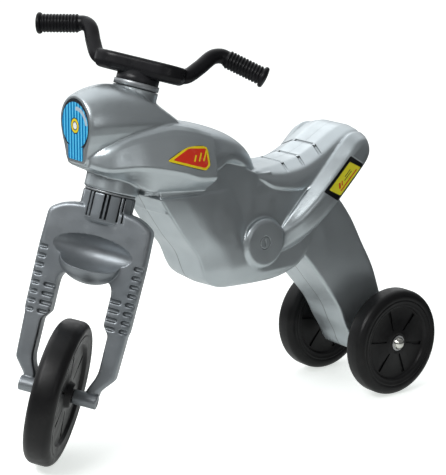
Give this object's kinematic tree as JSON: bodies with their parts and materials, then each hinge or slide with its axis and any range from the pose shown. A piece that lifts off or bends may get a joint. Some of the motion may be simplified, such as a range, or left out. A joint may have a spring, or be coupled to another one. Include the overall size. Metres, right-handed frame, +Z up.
{
  "type": "ride-on motorcycle",
  "caption": "Foot-powered ride-on motorcycle with a hollow moulded body, a turning fork with handlebar and rolling wheels on steel axles.",
  "frame": {"origin": "on the floor under the middle of the whole object's bounding box at rest, with the steering turned to the rider's left", "axes": "-Y is forward, +X is the rider's left, +Z is up; the body's mid-plane is x = 0.026"},
  "size_m": [0.2419, 0.6748, 0.5491],
  "materials": {
    "grey_plastic": "satin grey blow-moulded and injection-moulded polyethylene",
    "black_plastic": "semi-gloss black moulded plastic",
    "wheel_plastic": "satin black moulded plastic, scuffed on the tread",
    "bush_plastic": "grey nylon, smooth",
    "axle_steel": "bright drawn steel",
    "cap_metal": "bright plated pressed caps",
    "lens_print": "glossy printed film, blue",
    "tank_print": "glossy printed film, red with a yellow border",
    "tail_print": "glossy printed film, yellow"
  },
  "bodies": {
    "chassis": {"body_shell": "grey_plastic", "upper_head_bush": "bush_plastic", "lower_head_bush": "bush_plastic", "rear_axle": "axle_steel", "rear_spacer_left": "bush_plastic", "rear_spacer_right": "bush_plastic", "rear_washer_left": "axle_steel", "rear_washer_right": "axle_steel", "rear_cap_left": "cap_metal", "rear_cap_right": "cap_metal", "headlight_sticker": "lens_print", "tank_sticker_left": "tank_print", "tank_sticker_right": "tank_print", "tail_sticker_left": "tail_print", "tail_sticker_right": "tail_print"},
    "steering": {"fork": "grey_plastic", "handlebar": "black_plastic", "steering_stem": "axle_steel", "front_axle": "axle_steel"},
    "front_roller": {"front_wheel": "wheel_plastic"},
    "left_roller": {"rear_wheel_left": "wheel_plastic"},
    "right_roller": {"rear_wheel_right": "wheel_plastic"}
  },
  "joints": [
    {"name": "steering_turn", "type": "hinge", "parent": "chassis", "child": "steering", "pos_m": [0.026, -0.1162, 0.493], "axis": [0, 0.2944, 0.9557], "range_deg": [-93.4, 6.6]},
    {"name": "front_wheel_spin", "type": "hinge", "parent": "steering", "child": "front_roller", "pos_m": [0.04243, -0.2574, 0.09357], "axis": [0.7264, 0.6568, -0.2023], "continuous": true},
    {"name": "rear_wheel_left_spin", "type": "hinge", "parent": "chassis", "child": "left_roller", "pos_m": [0.0998, 0.2638, 0.076], "axis": [1, 0, 0], "continuous": true},
    {"name": "rear_wheel_right_spin", "type": "hinge", "parent": "chassis", "child": "right_roller", "pos_m": [-0.0478, 0.2638, 0.076], "axis": [1, 0, 0], "continuous": true}
  ]
}
